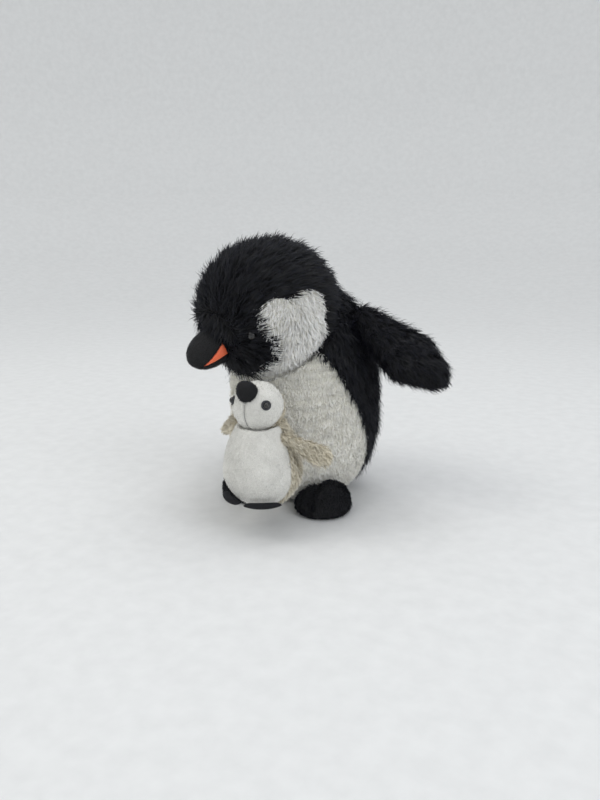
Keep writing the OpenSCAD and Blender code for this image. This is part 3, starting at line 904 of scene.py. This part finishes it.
# %% [markdown]
# ## Stitches
#
# The chick's neck and the middle of its face are closed with a ladder stitch. A short rounded
# bar of thread is placed on a seam line every 2 mm or so by a second small tree.

# %% Stitch tree
sew = bpy.data.node_groups.new("Sew", "GeometryNodeTree")
sew_id = named_inputs(sew, [("Geometry", "Geometry", None), ("Pitch", "Float", 0.002),
                            ("Stitch", "Float", 0.0014), ("Thread", "Float", 0.0003),
                            ("Fabric", "Material", None)])
asked = add(sew, "NodeGroupInput").outputs
even = add(sew, "GeometryNodeResampleCurve", {"Curve": asked["Geometry"], "Length": asked["Pitch"]},
           mode="LENGTH")
points = add(sew, "GeometryNodeCurveToPoints", {"Curve": even.outputs[0]}, mode="EVALUATED")
bar = add(sew, "GeometryNodeMeshCylinder", {"Vertices": 6, "Radius": asked["Thread"],
                                            "Depth": asked["Stitch"]})
placed = add(sew, "GeometryNodeInstanceOnPoints", {
    "Points": points.outputs["Points"], "Instance": bar.outputs["Mesh"],
    "Rotation": points.outputs["Rotation"]})
solid = add(sew, "GeometryNodeRealizeInstances", {"Geometry": placed.outputs[0]})
coloured = add(sew, "GeometryNodeSetMaterial", {"Geometry": solid.outputs[0], "Material": asked["Fabric"]})
add(sew, "NodeGroupOutput", {"Geometry": coloured.outputs[0]})


# %% Sew a line
def seam_line(name, points, fibre):
    curve = bpy.data.curves.new(name, "CURVE")
    curve.dimensions = "3D"
    line = curve.splines.new("POLY")
    line.points.add(len(points) - 1)
    for point, place in zip(line.points, points):
        point.co = (*place, 1)
    needle = link(name, curve)
    work = needle.modifiers.new("Sew", "NODES")
    work.node_group = sew
    work[sew_id["Fabric"]] = fibre
    work[sew_id["Pitch"]] = 2.0 * MM
    work[sew_id["Stitch"]] = 1.5 * MM
    work[sew_id["Thread"]] = 0.28 * MM
    graph = bpy.context.evaluated_depsgraph_get()
    graph.update()
    mesh = bpy.data.meshes.new_from_object(needle.evaluated_get(graph), depsgraph=graph)
    bpy.data.objects.remove(needle)
    stitches = link(name, mesh)
    print(name, len(mesh.polygons), "faces")
    return stitches


RING_R, RING_NARROW, RING_DROP, FACE_R = 0.0237, 0.78, 0.0148, 0.0226
ring = []
for step in range(73):
    a = math.radians(step * 5)
    ring.append(chick_head_centre + Vector((RING_R * math.sin(a) * RING_NARROW,
                                            -RING_R * math.cos(a) * RING_NARROW, -RING_DROP)))
neck_stitches = seam_line("chick_neck_stitches", ring, thread)
beak_rise = math.asin((middle("chick_beak") - chick_head_centre).normalized().z)
middle_line = []
for step in range(25):
    rise = beak_rise - math.radians(25 + step * 2.6)
    middle_line.append(chick_head_centre + Vector((0, -math.cos(rise), math.sin(rise))) * FACE_R)
face_stitches = seam_line("chick_face_stitches", middle_line, seam_thread)

# %% [markdown]
# ## Pieces join their bodies
#
# The backings get their thickness now, after the pile was planted on their outsides. Each piece
# stands for the CAD nodes it covers and, except the wings, rides on the body that carries it.

# %% Thickness of the backings
def thicken(thickness_mm, *pieces):
    for piece in pieces:
        wall = piece.modifiers.new("Wall", "SOLIDIFY")
        wall.thickness = thickness_mm * MM
        wall.offset = -1
        applied(piece)


thicken(2, back_cover, belly_panel, base_panel, hood, throat_left, throat_right)
thicken(1.2, chick_front, chick_back, chick_face, chick_crown)

# %% Mother's body and head
ride_all("torso", "black_fur", back_cover, back_fur)
ride_all("torso", "white_plush", belly_panel, belly_pile)
ride_all("torso", "black_cloth", base_panel)
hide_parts("back_cover", "body_stuffing", "pellet_bag", "tail")
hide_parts("belly_panel")
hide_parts("base_panel")
ride_all("neck", "black_fur", neck, neck_fur)
ride_all("neck", "white_fur", neck_front, neck_front_fluff)
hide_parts("neck_skin")
ride_all("head", "black_fur", hood, hood_fur)
ride_all("head", "white_fur", throat_left, throat_fur[0], throat_right, throat_fur[1])
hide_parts("hood", "head_stuffing")
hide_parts("left_throat_patch")
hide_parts("right_throat_patch")
for piece, node in zip(beak_pieces, ("upper_beak", "lower_beak", "left_gape", "right_gape")):
    ride_all("head", "orange_felt" if "gape" in node else "black_velour", piece)
    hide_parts(node)
ride_all("head", "black_velour", *beak_nap)

# %% Wings and feet
for side, root, tip in (("left", left_shoulder, left_tip), ("right", right_shoulder, right_tip)):
    backing, fur = wing_pieces[side]
    for piece in (backing, fur):
        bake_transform(piece)
    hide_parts(side + "_wing_cover", side + "_wing_stuffing")
for side, (backing, nap) in zip(("left", "right"), feet):
    ride_all(side + "_foot", "black_plush", backing, nap)
    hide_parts(side + "_foot_cover", side + "_foot_stuffing")

# %% Chick
ride_all("chick_body", "white_velboa", chick_front, front_nap)
ride_all("chick_body", "beige_plush", chick_back, back_fluff)
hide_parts("chick_front_panel", "chick_base", "chick_stuffing")
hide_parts("chick_back_cover")
for felt, side in zip(chick_feet, ("left", "right")):
    ride_all("chick_body", "navy_felt", felt)
    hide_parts(f"chick_{side}_foot")
ride_all("chick_neck", "white_velboa", chick_neck, neck_nap, neck_stitches)
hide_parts("chick_neck_skin")
ride_all("chick_head", "white_velboa", chick_face, face_nap, face_stitches)
ride_all("chick_head", "beige_plush", chick_crown, crown_fluff)
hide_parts("chick_face_left", "chick_face_right", "chick_head_stuffing")
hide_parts("chick_head_back")
ride_all("chick_head", "black_velour", chick_beak, chick_beak_nap)
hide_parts("chick_beak")
for side in ("left", "right"):
    top, lining, fluff = flippers[side]
    ride_all(f"chick_{side}_wing", "beige_plush", top, fluff)
    ride_all(f"chick_{side}_wing", "satin", lining)
    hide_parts(f"chick_{side}_flipper")
    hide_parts(f"chick_{side}_flipper_lining")

# %% Beads, felt discs and washers keep their CAD shape
nylon = cloth_material("moulded_nylon_natural", "#c8c7c0", "#dedcd4", 2.0, 0.05, 0.5, 0.0, "#ffffff")
for ending, finish in (("eye", bead), ("eye_felt", grey_felt), ("eye_washer", nylon)):
    for node in [n for n in frame["nodes"] if n.endswith(ending)]:
        frame["nodes"][node].data.materials.clear()
        frame["nodes"][node].data.materials.append(finish)
for helper in (fur_lock, nub_lock):
    bpy.data.objects.remove(helper)

# %% [markdown]
# ## Room, light and camera
#
# The toy stands on a pale paper sweep. The sweep is a wide bowl, so that it is plain from every
# side. A large soft lamp hangs in front and to the left, a weaker one on the right, and the sky
# fills the rest.

# %% Paper sweep
paper, tree = blank_material("matt_paper_sweep_pale_grey")
place = add(tree, "ShaderNodeTexCoord").outputs["Object"]
fibre = add(tree, "ShaderNodeTexNoise", {"Vector": place, "Scale": 60.0, "Detail": 4.0})
tint = ramp(tree, fibre.outputs["Fac"], [(0.3, "#dcdddd"), (0.7, "#e2e3e3")])
board = add(tree, "ShaderNodeBsdfPrincipled", {"Base Color": tint, "Roughness": 0.85})
add(tree, "ShaderNodeOutputMaterial", {"Surface": board.outputs[0]})
profile = [(0.0, 0.0), (0.4, 0.0), (1.2, 0.0), (1.6, 0.03), (1.95, 0.13), (2.25, 0.35), (2.42, 0.7),
           (2.5, 1.4), (2.5, 3.0)]
rings = 96
verts = [(0, 0, 0)]
for radius, height in profile[1:]:
    for i in range(rings):
        a = 2 * math.pi * i / rings
        verts.append((radius * math.cos(a), radius * math.sin(a), height))
faces = [(0, 1 + i, 1 + (i + 1) % rings) for i in range(rings)]
for r in range(len(profile) - 2):
    for i in range(rings):
        a, b = 1 + r * rings + i, 1 + r * rings + (i + 1) % rings
        faces.append((a, a + rings, b + rings, b))
sweep_mesh = bpy.data.meshes.new("paper_sweep")
sweep_mesh.from_pydata(verts, [], faces)
sweep_mesh.shade_smooth()
sweep_mesh.materials.append(paper)
sweep = link("paper_sweep", sweep_mesh)


# %% Lamps and sky
def lamp(name, place, aim, width, power, colour):
    data = bpy.data.lights.new(name, "AREA")
    data.shape = "DISK"
    data.size = width
    data.energy = power
    data.color = linear(colour)[:3]
    made = link(name, data)
    made.location = place
    made.rotation_euler = (Vector(aim) - Vector(place)).to_track_quat("-Z", "Y").to_euler()


lamp("key_softbox", (-0.9, -1.1, 1.9), (0, 0, 0.1), 1.4, 14, "#fffdf8")
lamp("fill_softbox", (1.6, -0.6, 1.3), (0, 0, 0.1), 1.5, 10, "#f8faff")
lamp("top_softbox", (0.0, 0.5, 2.2), (0, 0, 0.1), 1.5, 11, "#ffffff")
world = bpy.data.worlds.new("pale_room")
world.use_nodes = True
world.node_tree.nodes["Background"].inputs[0].default_value = linear("#e9ebee")
world.node_tree.nodes["Background"].inputs[1].default_value = 0.8
bpy.context.scene.world = world

# %% [markdown]
# The camera stands 0.8 m away, turned 30 degrees round to the mother's left and 14 degrees up.

# %% Camera
view_target = Vector((-0.001, -0.009, 0.100))
eye_point = Vector((0.3913, -0.6777, 0.2983))
lens = bpy.data.cameras.new("camera")
lens.sensor_width = 36
lens.lens = 33.98
camera = link("camera", lens)
camera.location = eye_point
camera.rotation_euler = (view_target - eye_point).to_track_quat("-Z", "Y").to_euler()
bpy.context.scene.camera = camera
bpy.context.scene.view_settings.view_transform = "Standard"
